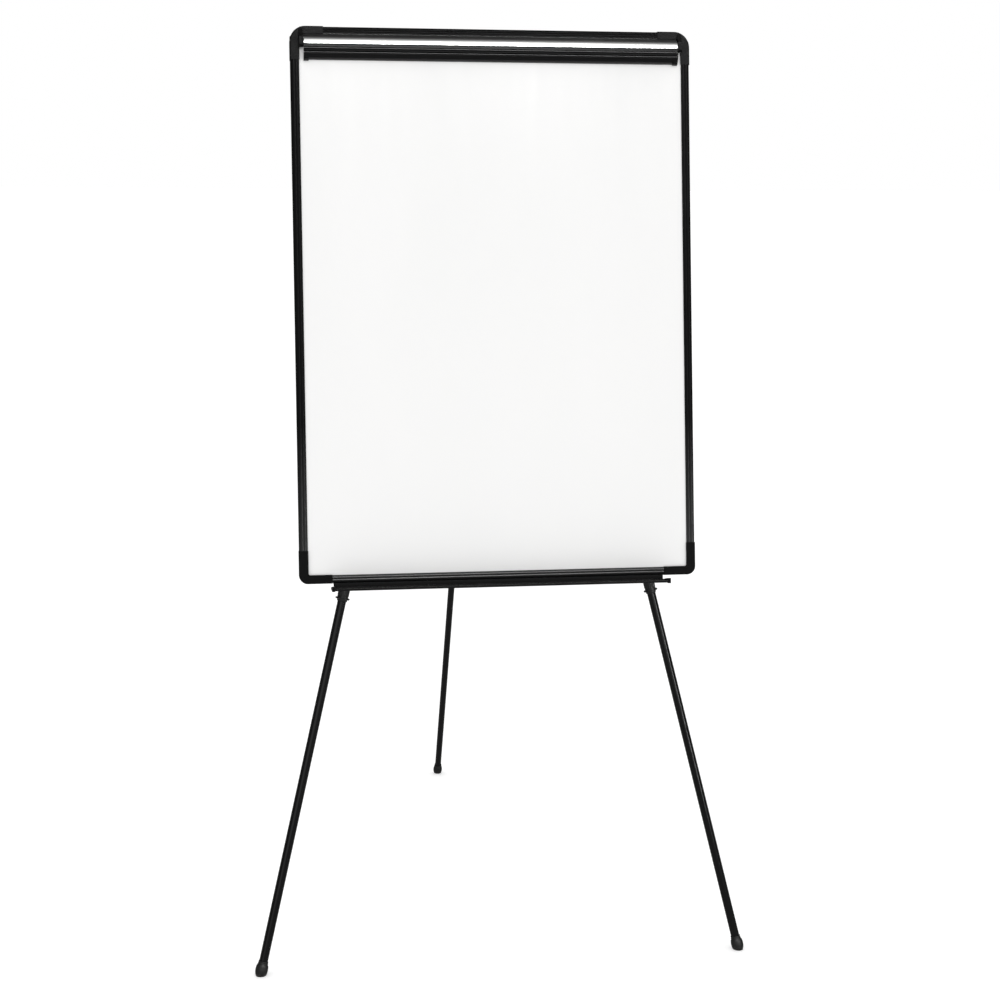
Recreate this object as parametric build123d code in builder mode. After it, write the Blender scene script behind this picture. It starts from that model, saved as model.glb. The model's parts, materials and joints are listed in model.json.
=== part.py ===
from build123d import *
import os
from math import atan2, cos, radians, sin

# Flipchart easel: a framed dry-erase board with a paper clamp and a pen tray, on three telescopic legs.
# Millimetres, +Z up, origin on the floor in the middle of the feet, board facing -Y.

# ---------------------------------------------------------------- driving dimensions
# Board, measured on its own tilted plane: x to the right, up from its bottom edge, back from its front
board_width = 740.0
board_height = 1010.5
board_tilt = radians(10)
board_z = 716.5  # bottom edge above the floor
board_y = -431.0  # front of the bottom edge

# Frame rails and the panel held in their grooves
side_rail_width = 16.0
top_rail_width = 12.5
bottom_rail_width = 15.0
rail_depth = 18.0
rail_wall = 1.4
groove_front = 2.4
groove_back = 9.8
groove_floor = 7.0  # from the board's outer edge
rail_end_inset = 18.0  # rails stop this far from the board's outer edges
face_thickness = 0.4
core_thickness = 6.5
back_sheet_thickness = 0.3
panel_inset = 7.3

# Moulded corners
cap_arm = 60.0
cap_proud = 0.6
cap_edge_radius = 2.0
cap_radius_top = 29.0
cap_radius_bottom = 16.0
ear_length = 39.0  # below the board's top edge
ear_front = -11.8
ear_back = 2.2

# Paper clamp, measured down from the board's top edge
clamp_half_length = 346.0
clamp_top = 14.0
bar_bottom = 33.0
grip_bottom = 60.6
grip_end_drop = 2.0  # how much lower the strip's end pieces reach
clamp_pivot_down = 23.0
clamp_pivot_back = -6.6
bar_wall = 1.5
strip_end_length = 9.0

# Pen tray
tray_half_length = 308.3
tray_depth = 40.0
tray_wall = 1.6
tray_end_thickness = 5.0

# Legs
front_foot_x = 453.8
rear_foot_y = 526.5
leg_plane_back = 30.0
pivot_x = 61.7
pivot_up = 940.0
front_lower_radius = 8.0
rear_lower_radius = 7.0
upper_tube_end = 992.0  # along the leg from its pivot
lower_tube_length = 950.0
guide_along = 957.0
eye_neck = 22.0
pin_radius = 2.5

# Fits
running_gap = 0.05
loose_gap = 0.1
screw_radius = 1.5

# ---------------------------------------------------------------- board planes and derived places
SIDE = Vector(1, 0, 0)
UP = Vector(0, sin(board_tilt), cos(board_tilt))
BACK = Vector(0, cos(board_tilt), -sin(board_tilt))
half_width = board_width / 2
seat_back = rail_depth + running_gap  # where brackets sit on the rails' backs
panel_front = groove_front + loose_gap
panel_back = panel_front + face_thickness + core_thickness + back_sheet_thickness


def at(x, up, back):
    """A point given by its place on the board."""
    return Vector(0, board_y, board_z) + SIDE * x + UP * up + BACK * back


def facing_back(back):
    """Board-parallel plane with its normal out of the back, x to the left and y up."""
    return Plane(origin=at(0, 0, back), x_dir=-SIDE, z_dir=BACK)


def facing_front(back):
    """Board-parallel plane with its normal out of the front, x to the right and y up."""
    return Plane(origin=at(0, 0, back), x_dir=SIDE, z_dir=-BACK)


def across(x):
    """Plane square to the board's width, with its x to the back and its y up the board."""
    return Plane(origin=at(x, 0, 0), x_dir=BACK, z_dir=SIDE)


def discs(plane, spots, radius):
    """Circles of one radius at several spots."""
    with BuildSketch(plane) as drawn:
        with Locations(*spots):
            Circle(radius)
    return drawn.sketch


def ring(plane, outer, inner):
    """A flat ring round the plane's origin."""
    with BuildSketch(plane) as drawn:
        Circle(outer)
        Circle(inner, mode=Mode.SUBTRACT)
    return drawn.sketch


def outline(plane, points):
    """A closed straight-sided outline."""
    with BuildSketch(plane) as drawn:
        with BuildLine():
            Polyline(*points, close=True)
        make_face()
    return drawn.sketch


def screws(plane, spots, shank_length, head_radius=3.0, head_height=1.7):
    """Pan-head screws with cross recesses, their heads seated on a plane."""
    recess_length = head_radius * 1.1
    recess_width = 0.7
    recess_depth = 0.9
    with BuildPart() as group:
        extrude(discs(plane, spots, head_radius), amount=head_height)
        rims = group.edges().filter_by(GeomType.CIRCLE).filter_by(
            lambda edge: plane.to_local_coords(edge.center()).Z > head_height / 2
        )
        fillet(rims, head_height * 0.55)
        extrude(discs(plane, spots, screw_radius), amount=-shank_length)
        with BuildSketch(plane.offset(head_height)):
            with Locations(*spots):
                Rectangle(recess_length, recess_width)
                Rectangle(recess_width, recess_length)
        extrude(amount=-recess_depth, mode=Mode.SUBTRACT)
    return group


os.makedirs("parts", exist_ok=True)


def save(piece, node):
    piece.part.label = node
    export_step(piece.part, f"parts/{node}.step")


def save_pair(piece, node):
    """Write a left-hand piece and its mirror image."""
    save(piece, f"{node}_left")
    with BuildPart() as other_hand:
        mirror(piece.part, about=Plane.YZ)
    save(other_hand, f"{node}_right")


# ---------------------------------------------------------------- panel
def panel_sheet(front, thickness):
    """One layer of the panel, from a given depth behind the front of the frame."""
    with BuildPart() as sheet:
        with BuildSketch(facing_back(front)):
            with Locations((0, board_height / 2)):
                Rectangle(board_width - 2 * panel_inset, board_height - 2 * panel_inset)
        extrude(amount=thickness)
    return sheet


core_front = panel_front + face_thickness
core_back = core_front + core_thickness
bracket_foot_spots = [(-80, 912), (80, 912)]
bracket_screw_depth = 15.0

save(panel_sheet(panel_front, face_thickness), "whiteboard_face")

board_core = panel_sheet(core_front, core_thickness)
back_sheet = panel_sheet(core_back, back_sheet_thickness)
for layer in (board_core, back_sheet):
    with layer:
        bores = discs(facing_back(panel_back), bracket_foot_spots, screw_radius + running_gap)
        extrude(bores, amount=-(bracket_screw_depth - rail_depth + panel_back), mode=Mode.SUBTRACT)
save(board_core, "board_core")
save(back_sheet, "back_sheet")


# ---------------------------------------------------------------- frame rails
outer_front_radius = 4.5
outer_back_radius = 2.5
rib_height = 0.7
lip_radius = 0.8


def rail_section(width):
    """Rail profile, x inward from its outer edge, y to the back: two ribs, a panel groove and a chamber."""
    rib_centres = (width * 0.68, width * 0.36)
    rib_half = width * 0.145
    with BuildSketch() as drawn:
        with BuildLine():
            Line((width, groove_front), (width, rib_height + lip_radius))
            RadiusArc(
                (width, rib_height + lip_radius), (width - lip_radius, rib_height), lip_radius
            )
            start = width - lip_radius
            for centre in rib_centres:
                Line((start, rib_height), (centre + rib_half, rib_height))
                ThreePointArc(
                    (centre + rib_half, rib_height), (centre, 0), (centre - rib_half, rib_height)
                )
                start = centre - rib_half
            ThreePointArc(
                (start, rib_height),
                (outer_front_radius * 0.22, outer_front_radius * 0.45),
                (0, outer_front_radius + rib_height),
            )
            Line((0, outer_front_radius + rib_height), (0, rail_depth - outer_back_radius))
            ThreePointArc(
                (0, rail_depth - outer_back_radius),
                (outer_back_radius * 0.293, rail_depth - outer_back_radius * 0.293),
                (outer_back_radius, rail_depth),
            )
            Polyline(
                (outer_back_radius, rail_depth),
                (width, rail_depth),
                (width, groove_back),
                (groove_floor, groove_back),
                (groove_floor, groove_front),
                (width, groove_front),
            )
        make_face()
        chamber_front = groove_back + rail_wall
        chamber_depth = rail_depth - rail_wall - chamber_front
        with Locations((width / 2, chamber_front + chamber_depth / 2)):
            Rectangle(width - 2 * rail_wall, chamber_depth, mode=Mode.SUBTRACT)
    return drawn.sketch


def rail_envelope(width):
    """The space that a rail fills inside a corner, with a little room round it."""
    with BuildSketch() as drawn:
        with Locations((width / 2, rail_depth / 2)):
            Rectangle(width + 2 * loose_gap, rail_depth + 2 * loose_gap)
        outer_corners = drawn.vertices().group_by(Axis.X)[0].sort_by(Axis.Y)
        fillet(outer_corners[0], outer_front_radius - rib_height)
        fillet(outer_corners[-1], outer_back_radius)
    return drawn.sketch


def rail_plane(edge_x, edge_up, inward):
    """Plane square to a rail at its middle, with x inward from the board's outer edge and y to the back."""
    return Plane(origin=at(edge_x, edge_up, 0), x_dir=inward, z_dir=inward.cross(BACK))


side_rail_length = board_height - 2 * rail_end_inset
cross_rail_length = board_width - 2 * rail_end_inset
rails = {
    "left": (rail_plane(-half_width, board_height / 2, SIDE), side_rail_width, side_rail_length),
    "right": (rail_plane(half_width, board_height / 2, -SIDE), side_rail_width, side_rail_length),
    "top": (rail_plane(0, board_height, -UP), top_rail_width, cross_rail_length),
    "bottom": (rail_plane(0, 0, UP), bottom_rail_width, cross_rail_length),
}

# Screws that enter the rails from behind, as (x, up); x counts to the right
corner_screw_inset = 45.0
corner_screw_x = half_width - corner_screw_inset
top_screw_up = board_height - top_rail_width / 2
bottom_screw_up = bottom_rail_width / 2
rail_mid_x = half_width - side_rail_width / 2
corner_screw_spots = []
for hand in (-1, 1):
    corner_screw_spots += [
        (hand * corner_screw_x, top_screw_up),
        (hand * corner_screw_x, bottom_screw_up),
        (hand * rail_mid_x, board_height - corner_screw_inset),
        (hand * rail_mid_x, corner_screw_inset),
    ]
bracket_top_spots = [(-70, top_screw_up), (0, top_screw_up), (70, top_screw_up)]

# The front legs cross the bottom rail here
floor_up = (leg_plane_back * sin(board_tilt) - board_z) / cos(board_tilt)
front_splay = atan2(front_foot_x - pivot_x, pivot_up - floor_up)
guide_x = pivot_x + guide_along * sin(front_splay)
guide_up = pivot_up - guide_along * cos(front_splay)
guide_screw_reach = 21.0
guide_spots = [
    (hand * (guide_x + offset), bottom_screw_up)
    for hand in (-1, 1)
    for offset in (-guide_screw_reach, guide_screw_reach)
]
rear_bore_spots = corner_screw_spots + bracket_top_spots + guide_spots

tray_screw_back = 13.0
tray_screw_spots = [(x, tray_screw_back) for x in (-270, -90, 90, 270)]
tray_under = Plane(origin=at(0, 0, 0), x_dir=SIDE, z_dir=-UP)

for name, (plane, width, length) in rails.items():
    with BuildPart() as rail:
        with BuildSketch(plane):
            add(rail_section(width))
        extrude(amount=length / 2, both=True)
        extrude(
            discs(facing_front(rail_depth), rear_bore_spots, screw_radius + running_gap),
            amount=rail_wall * 1.5,
            mode=Mode.SUBTRACT,
        )
        if name == "bottom":
            extrude(
                discs(tray_under, [(x, -back) for x, back in tray_screw_spots], screw_radius + running_gap),
                amount=-rail_wall * 1.5,
                mode=Mode.SUBTRACT,
            )
    save(rail, f"frame_rail_{name}")

# ---------------------------------------------------------------- moulded corners
clamp_pivot = (clamp_pivot_back, board_height - clamp_pivot_down)  # on a plane across the board
ear_inner_x = clamp_half_length + 0.6
clamp_pin_radius = 1.5
clamp_pin_span = (clamp_half_length - 9.0, clamp_half_length + 7.0)
spring_pocket_radius = 4.2
spring_pocket_depth = 4.6
elbow_radius = 3.0

# Return spring of the clamp: a coil round the pin, with a straight tail into the clamp and one into the ear
spring_wire_radius = 0.4
spring_coil_radius = 3.2
spring_pitch = 0.95
spring_height = 3.8
spring_tail = 1.6
spring_inner_end = at(-(ear_inner_x + spring_wire_radius), clamp_pivot[1], clamp_pivot[0])
with BuildLine() as spring_path:
    Helix(spring_pitch, spring_height, spring_coil_radius, center=spring_inner_end, direction=-SIDE)
spring_coil = spring_path.line
stub = 0.005  # share of the coil's length that is left past each tail
clamp_tail_start = spring_coil @ stub
ear_tail_start = spring_coil @ (1 - stub)


def round_bar(start, direction, length, radius):
    """A straight round bar from a point."""
    with BuildPart() as bar:
        with BuildSketch(Plane(origin=start, z_dir=direction)):
            Circle(radius)
        extrude(amount=length)
    return bar.part


def corner_cap(top):
    """A left-hand corner: two arms that sleeve the rails' ends; the top one has an ear for the clamp."""
    cross_width = top_rail_width if top else bottom_rail_width
    edge_up = board_height if top else 0
    inward = -1 if top else 1
    elbow = side_rail_width + cap_proud
    shoulder = cross_width + cap_proud

    def on_board(across_in, along_in):
        return (-half_width + across_in, edge_up + inward * along_in)

    def is_outer(edge):
        place = facing_front(0).to_local_coords(edge.center())
        from_side = place.X + half_width
        from_edge = (place.Y - edge_up) * inward
        runs_along_board = abs(edge.tangent_at(0.5).dot(BACK)) < 0.5
        return runs_along_board and (min(from_side, from_edge) < 0 or max(from_side, from_edge) < elbow / 1.6)

    with BuildPart() as cap:
        with BuildSketch(facing_front(-cap_proud)) as face:
            with BuildLine():
                Polyline(
                    on_board(-cap_proud, -cap_proud),
                    on_board(cap_arm, -cap_proud),
                    on_board(cap_arm, shoulder),
                    on_board(elbow, shoulder),
                    on_board(elbow, cap_arm),
                    on_board(-cap_proud, cap_arm),
                    close=True,
                )
            make_face()
            outer_corner = face.vertices().sort_by_distance(on_board(-cap_proud, -cap_proud))[0]
            fillet(outer_corner, cap_radius_top if top else cap_radius_bottom)
            inner_corner = face.vertices().sort_by_distance(on_board(elbow, shoulder))[0]
            fillet(inner_corner, elbow_radius)
        extrude(amount=-(rail_depth + 2 * cap_proud))
        rims = cap.edges().filter_by(is_outer)
        fillet(rims, cap_edge_radius)
        if top:
            ear_low = board_height - ear_length
            with BuildSketch(across(-ear_inner_x)) as ear:
                with BuildLine():
                    Polyline(
                        (ear_back, ear_low),
                        (ear_front, ear_low),
                        (ear_front, board_height - clamp_top - 6),
                        (0, board_height - 4),
                        (ear_back, board_height - 4),
                        close=True,
                    )
                make_face()
                fillet(ear.vertices().group_by(Axis.Y)[0], ear_length / 8)
                fillet(ear.vertices().group_by(Axis.X)[0].sort_by(Axis.Y)[-1], ear_length / 8)
            extrude(amount=-(half_width - side_rail_width - ear_inner_x))
            with BuildSketch(across(-ear_inner_x)):
                with Locations(clamp_pivot):
                    Circle(spring_pocket_radius)
            extrude(amount=-spring_pocket_depth, mode=Mode.SUBTRACT)
            with BuildSketch(across(-ear_inner_x)):
                with Locations(clamp_pivot):
                    Circle(clamp_pin_radius + running_gap)
            extrude(amount=-(clamp_pin_span[1] - ear_inner_x + 0.4), mode=Mode.SUBTRACT)
            tail_bore = spring_wire_radius + running_gap
            add(round_bar(ear_tail_start, -SIDE, spring_tail + 0.2, tail_bore), mode=Mode.SUBTRACT)
        for rail_name in ("left", "top" if top else "bottom"):
            plane, width, length = rails[rail_name]
            with BuildSketch(plane):
                add(rail_envelope(width))
            extrude(amount=length / 2 + loose_gap, both=True, mode=Mode.SUBTRACT)
        with BuildSketch(facing_back(panel_front - loose_gap)):
            with Locations((0, board_height / 2)):
                side = 2 * (panel_inset - loose_gap)
                Rectangle(board_width - side, board_height - side)
        extrude(amount=panel_back - panel_front + 2 * loose_gap, mode=Mode.SUBTRACT)
        extrude(
            discs(facing_front(rail_depth + cap_proud), corner_screw_spots, screw_radius + loose_gap),
            amount=cap_proud * 1.5,
            mode=Mode.SUBTRACT,
        )
    return cap


save_pair(corner_cap(top=True), "corner_cap_top")
save_pair(corner_cap(top=False), "corner_cap_bottom")
corner_screw_length = 7.0
corner_seat = facing_back(rail_depth + cap_proud)
save(screws(corner_seat, [(-x, up) for x, up in corner_screw_spots], corner_screw_length), "corner_screws")


# ---------------------------------------------------------------- paper clamp
def down(back, below_top):
    """A point on a plane across the board, given by its distance below the board's top edge."""
    return (back, board_height - below_top)


bar_back = -2.5
bar_top_back = -3.0
bar_front = -12.5
bar_bulge = (-9.9, 21.3)  # a point on the bar's rounded front
bar_flat_start = 31.0
bar_half_length = clamp_half_length - 1.0
plug_length = 14.0
clamp_screw_x = clamp_half_length - 8.0
clamp_screw_down = 29.0
clamp_screw_length = 6.6


def bar_section(shrink):
    """The bar's quarter-round outline, drawn in by a distance."""
    with BuildSketch(across(0)) as drawn:
        with BuildLine():
            ThreePointArc(down(bar_top_back, clamp_top), down(*bar_bulge), down(bar_front, bar_flat_start))
            Polyline(
                down(bar_front, bar_flat_start),
                down(bar_front, bar_bottom),
                down(bar_back, bar_bottom),
                down(bar_top_back, clamp_top),
            )
        make_face()
        if shrink:
            offset(amount=-shrink, mode=Mode.REPLACE)
    return drawn.sketch


# Ribbed strip below the bar; ribs start, crest and end at distances below the board's top edge
strip_top = bar_bottom + 0.1
strip_back = -1.9
strip_toe = 0.6  # how far back the lower edge reaches, towards the paper
strip_toe_top = 52.0
strip_back_low = 45.0
neck_set_back = 3.5
neck_bottom = 37.6
upper_rib = (38.8, 41.4, 44.0)
lower_rib = (46.8, 49.0, 51.2)
upper_rib_height = 2.3
lower_rib_height = 2.0
lower_rib_set_back = 0.6
valley = (2.2, 45.3)  # set back from the front, and its place, between the ribs
lip_top = 52.8
lip_set_back = 1.5
lip_bulge = (-6.8, 57.6)
strip_hollow = [
    (-7.2, 35.6),
    (-4.0, 35.6),
    (-4.0, 46.0),
    (-2.2, 51.0),
    (-8.8, 51.4),
    (-9.2, 42.0),
    (-7.2, 38.0),
]


def grip_section(swell, drop):
    """The ribbed strip's outline; swell thickens its front and drop lowers its bottom edge."""
    front = bar_front - swell
    behind = front + lower_rib_set_back
    lip = front + lip_set_back
    with BuildSketch(across(0)) as drawn:
        with BuildLine():
            Polyline(
                down(strip_back, strip_top),
                down(front + neck_set_back, strip_top),
                down(front + neck_set_back, neck_bottom),
                down(front, upper_rib[0]),
            )
            ThreePointArc(
                down(front, upper_rib[0]),
                down(front - upper_rib_height, upper_rib[1]),
                down(front, upper_rib[2]),
            )
            Polyline(
                down(front, upper_rib[2]),
                down(front + valley[0], valley[1]),
                down(behind, lower_rib[0]),
            )
            ThreePointArc(
                down(behind, lower_rib[0]),
                down(behind - lower_rib_height, lower_rib[1]),
                down(behind, lower_rib[2]),
            )
            Line(down(behind, lower_rib[2]), down(lip, lip_top))
            ThreePointArc(
                down(lip, lip_top),
                down(lip_bulge[0] - swell, lip_bulge[1] + drop),
                down(strip_toe, grip_bottom + drop),
            )
            Polyline(
                down(strip_toe, grip_bottom + drop),
                down(strip_toe, strip_toe_top),
                down(strip_back, strip_back_low),
                down(strip_back, strip_top),
            )
        make_face()
    return drawn.sketch


with BuildPart() as clamp_bar:
    extrude(bar_section(0), amount=bar_half_length, both=True)
    extrude(bar_section(bar_wall), amount=bar_half_length, both=True, mode=Mode.SUBTRACT)
    clamp_screw_spots = [(hand * clamp_screw_x, board_height - clamp_screw_down) for hand in (-1, 1)]
    bores = discs(facing_back(bar_back), clamp_screw_spots, screw_radius + running_gap)
    extrude(bores, amount=-bar_wall * 1.5, mode=Mode.SUBTRACT)
save(clamp_bar, "clamp_bar")

grip_half_length = clamp_half_length - strip_end_length
with BuildPart() as clamp_grip:
    extrude(grip_section(0, 0), amount=grip_half_length, both=True)
    hollow = outline(across(0), [down(*point) for point in strip_hollow])
    extrude(hollow, amount=grip_half_length, both=True, mode=Mode.SUBTRACT)
save(clamp_grip, "clamp_grip")

pad_front = strip_toe + running_gap
pad_rear = 2.35
pad_height = 6.5
pad_middle = 56.4
with BuildPart() as clamp_pad:
    with BuildSketch(facing_back(pad_front)):
        with Locations((0, board_height - pad_middle)):
            Rectangle(2 * grip_half_length - 4, pad_height)
    extrude(amount=pad_rear - pad_front)
save(clamp_pad, "clamp_pad")

with BuildPart() as clamp_end:
    face_x = Location(SIDE * -clamp_half_length)
    extrude(grip_section(0.5, grip_end_drop).moved(face_x), amount=strip_end_length - loose_gap)
    extrude(bar_section(0).moved(face_x), amount=clamp_half_length - bar_half_length - running_gap)
    with BuildSketch(across(-clamp_half_length)):
        with Locations(down(-6.5, bar_bottom + 0.6)):
            Rectangle(5.0, 3.0)
    extrude(amount=clamp_half_length - bar_half_length - running_gap)
    extrude(bar_section(bar_wall + loose_gap).moved(face_x), amount=plug_length)
    with BuildSketch(across(-clamp_half_length)):
        with Locations(clamp_pivot):
            Circle(clamp_pin_radius + running_gap / 2)
    extrude(amount=clamp_half_length - clamp_pin_span[0] + 0.2, mode=Mode.SUBTRACT)
    bores = discs(facing_back(bar_back), clamp_screw_spots, screw_radius + running_gap / 2)
    extrude(bores, amount=-(clamp_screw_length + 0.4), mode=Mode.SUBTRACT)
    tail_bore = spring_wire_radius + running_gap
    add(round_bar(clamp_tail_start, SIDE, spring_tail + 0.2, tail_bore), mode=Mode.SUBTRACT)
save_pair(clamp_end, "clamp_end")

save(
    screws(facing_back(bar_back), clamp_screw_spots, clamp_screw_length, head_radius=2.4, head_height=1.2),
    "clamp_screws",
)

with BuildPart() as clamp_pins:
    for hand in (-1, 1):
        with BuildSketch(across(hand * clamp_pin_span[0])):
            with Locations(clamp_pivot):
                Circle(clamp_pin_radius)
        extrude(amount=hand * (clamp_pin_span[1] - clamp_pin_span[0]))
save(clamp_pins, "clamp_pivot_pins")

with BuildPart() as clamp_spring:
    with BuildSketch(Plane(origin=spring_coil @ 0, z_dir=spring_coil % 0)):
        Circle(spring_wire_radius)
    sweep(path=spring_coil, is_frenet=True)
    add(round_bar(clamp_tail_start, SIDE, spring_tail, spring_wire_radius))
    add(round_bar(ear_tail_start, -SIDE, spring_tail, spring_wire_radius))
save_pair(clamp_spring, "clamp_spring")


# ---------------------------------------------------------------- pen tray
tray_flange_front = 2.0
tray_flange_rear = 15.5
tray_lip_back = -tray_depth + 1.7
floor_rear_up = -7.6
floor_front_up = -10.2
lip_top_up = -7.4
tray_under_up = -11.8
tray_section = [
    (tray_flange_rear, -running_gap),
    (tray_flange_front, -running_gap),
    (tray_flange_front, floor_rear_up),
    (tray_lip_back, floor_front_up),
    (tray_lip_back, lip_top_up),
    (-tray_depth, lip_top_up),
    (-tray_depth, tray_under_up),
    (tray_lip_back, tray_under_up),
    (tray_flange_front + tray_wall, floor_rear_up - tray_wall),
    (tray_flange_front + tray_wall, -running_gap - tray_wall),
    (tray_flange_rear, -running_gap - tray_wall),
]
with BuildPart() as pen_tray:
    extrude(outline(across(0), tray_section), amount=tray_half_length, both=True)
    lip_edges = pen_tray.edges().filter_by(Axis.X).group_by(Axis(at(0, 0, 0), BACK))[0]
    fillet(lip_edges, tray_wall * 0.48)
    bores = discs(tray_under, [(x, -back) for x, back in tray_screw_spots], screw_radius + loose_gap)
    extrude(bores.moved(Location(-UP * 3)), amount=-6, mode=Mode.SUBTRACT)
save(pen_tray, "pen_tray")

end_reach = 1.2  # how far a tray end stands round the tray's section
tongue_length = 12.0
tongue_rear = -8.0
tongue_front = -30.0


def under_floor(back, gap):
    """A point a little under the tray's sloping floor."""
    rear = tray_flange_front + tray_wall
    rear_up = floor_rear_up - tray_wall
    slope = (rear_up - tray_under_up) / (rear - tray_lip_back)
    return (back, rear_up - slope * (rear - back) - gap)


with BuildPart() as tray_end:
    end_profile = [
        (-1.5, floor_rear_up + 0.4),
        (-tray_depth + 4, -3.5),
        (-tray_depth - end_reach, -3.5),
        (-tray_depth - end_reach, tray_under_up - end_reach),
        (tray_lip_back, tray_under_up - end_reach),
        (-1.5, floor_rear_up - tray_wall - end_reach),
    ]
    extrude(outline(across(-tray_half_length - running_gap), end_profile), amount=-tray_end_thickness)
    fillet(tray_end.edges().filter_by(Axis.X), end_reach * 0.9)
    tongue = [
        under_floor(tongue_rear, loose_gap),
        under_floor(tongue_front, loose_gap),
        under_floor(tongue_front, end_reach),
        under_floor(tongue_rear, end_reach),
    ]
    extrude(outline(across(-tray_half_length - running_gap), tongue), amount=tongue_length)
save_pair(tray_end, "tray_end")

tray_screw_length = 5.0
tray_screw_seat = Plane(origin=at(0, -running_gap - tray_wall, 0), x_dir=SIDE, z_dir=-UP)
save(
    screws(tray_screw_seat, [(x, -back) for x, back in tray_screw_spots], tray_screw_length),
    "tray_screws",
)

# ---------------------------------------------------------------- head bracket for the three legs
plate_thickness = 2.6
plate_rear = seat_back + plate_thickness
plate_half_width = 95.0
plate_low = 905.0
plate_high = board_height - 1.5
tongue_half = 4.0  # half the thickness of each leg's eye
tongue_gap = 0.15
cheek_thickness = 3.0
hood_low = 924.0
hood_high = 953.0
hood_front = leg_plane_back + tongue_half + tongue_gap
hood_rear = hood_front + cheek_thickness
rear_cheek_radius = 20.5
stop_start = 3.0
stop_end = 17.0


def upper_radius(lower_radius):
    return lower_radius + 1.25


def eye_radius(lower_radius):
    """Rounded top of a leg's eye, a little slimmer than its upper tube."""
    return upper_radius(lower_radius) - 0.6


front_eye = eye_radius(front_lower_radius)
rear_eye = eye_radius(rear_lower_radius)
pivot_back_up = (leg_plane_back, pivot_up)
rear_pivot = at(0, pivot_up, leg_plane_back)
rear_foot = Vector(0, rear_foot_y, 0)
rear_line = (rear_foot - rear_pivot).normalized()
rear_open = atan2(rear_line.dot(BACK), -rear_line.dot(UP))  # between the board and the rear leg


def along_rear_leg(along, off):
    """A point on the plane across the board, along the open rear leg and off to its back."""
    return (
        leg_plane_back + along * sin(rear_open) + off * cos(rear_open),
        pivot_up - along * cos(rear_open) + off * sin(rear_open),
    )


with BuildPart() as head_bracket:
    with BuildSketch(facing_back(seat_back)) as plate:
        with Locations((0, (plate_low + plate_high) / 2)):
            Rectangle(2 * plate_half_width, plate_high - plate_low)
        fillet(plate.vertices(), 6)
    extrude(amount=plate_thickness)
    # Feet that carry the plate's lower corners on the panel
    extrude(discs(facing_back(panel_back), bracket_foot_spots, 6.5), amount=seat_back - panel_back)
    # Hoods over the front legs' eyes: a boss under each eye, a cover over it, a roof and an inner wall
    for hand in (-1, 1):
        with BuildSketch(facing_back(plate_rear)):
            with Locations((-hand * pivot_x, pivot_up)):
                Circle(front_eye)
        extrude(amount=leg_plane_back - tongue_half - tongue_gap - plate_rear)
        wall_x = pivot_x - front_eye - tongue_gap - cheek_thickness / 2
        with BuildSketch(facing_back(plate_rear)):
            with Locations((-hand * wall_x, (hood_low + hood_high) / 2)):
                Rectangle(cheek_thickness, hood_high - hood_low)
            roof_span = (wall_x - cheek_thickness / 2, pivot_x + 22)
            with Locations((-hand * sum(roof_span) / 2, hood_high - cheek_thickness / 2)):
                Rectangle(roof_span[1] - roof_span[0], cheek_thickness)
        extrude(amount=hood_rear - plate_rear)
        with BuildSketch(facing_back(hood_front)):
            with Locations((-hand * sum(roof_span) / 2, (hood_low + hood_high) / 2)):
                Rectangle(roof_span[1] - roof_span[0], hood_high - hood_low)
        extrude(amount=cheek_thickness)
    # Two cheeks for the rear leg, joined by the web that stops it when it is open
    for hand in (-1, 1):
        with BuildSketch(across(hand * (tongue_half + tongue_gap))):
            with Locations(pivot_back_up):
                Circle(rear_cheek_radius)
            with Locations((plate_rear - rear_cheek_radius - 0.2, pivot_up)):
                Rectangle(2 * rear_cheek_radius, 3 * rear_cheek_radius, mode=Mode.SUBTRACT)
        extrude(amount=hand * cheek_thickness)
    web = [
        along_rear_leg(stop_start, rear_eye + tongue_gap),
        along_rear_leg(stop_end, rear_eye + tongue_gap),
        along_rear_leg(stop_end, rear_eye + tongue_gap + cheek_thickness),
        along_rear_leg(stop_start, rear_eye + tongue_gap + cheek_thickness),
    ]
    extrude(outline(across(0), web), amount=tongue_half + tongue_gap + cheek_thickness, both=True)
    # Bores
    pin_bore = pin_radius + running_gap / 2
    front_pivots = [(x, pivot_up) for x in (-pivot_x, pivot_x)]
    extrude(discs(facing_back(0), front_pivots, pin_bore), amount=hood_rear + 5, mode=Mode.SUBTRACT)
    with BuildSketch(across(0)):
        with Locations(pivot_back_up):
            Circle(pin_bore)
    extrude(amount=tongue_half + 2 * cheek_thickness, both=True, mode=Mode.SUBTRACT)
    screw_bore = screw_radius + loose_gap
    extrude(
        discs(facing_back(0), bracket_top_spots + bracket_foot_spots, screw_bore),
        amount=hood_rear,
        mode=Mode.SUBTRACT,
    )
save(head_bracket, "head_bracket")

bracket_screw_bite = 4.5  # into the top rail
foot_screw_length = plate_rear - rail_depth + bracket_screw_depth - 0.5
bracket_screws = screws(facing_back(plate_rear), bracket_top_spots, plate_thickness + bracket_screw_bite)
foot_screws = screws(facing_back(plate_rear), bracket_foot_spots, foot_screw_length)
with bracket_screws:
    add(foot_screws.part)
save(bracket_screws, "head_bracket_screws")

rivet_head_radius = 4.5
rivet_head_height = 1.6


def rivet(plane, low, high):
    """A pin between two heights on a plane's normal, with a domed head at each end."""
    with BuildPart() as pin:
        extrude(discs(plane.offset(low), [(0, 0)], pin_radius), amount=high - low)
        for height, sense in ((low, -1), (high, 1)):
            head = discs(plane.offset(height), [(0, 0)], rivet_head_radius)
            extrude(head, amount=sense * rivet_head_height)
        rims = pin.edges().filter_by(GeomType.CIRCLE).filter_by(
            lambda edge: edge.radius > pin_radius + 1
            and not low - 0.1 < plane.to_local_coords(edge.center()).Z < high + 0.1
        )
        fillet(rims, rivet_head_height * 0.7)
    return pin


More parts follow.
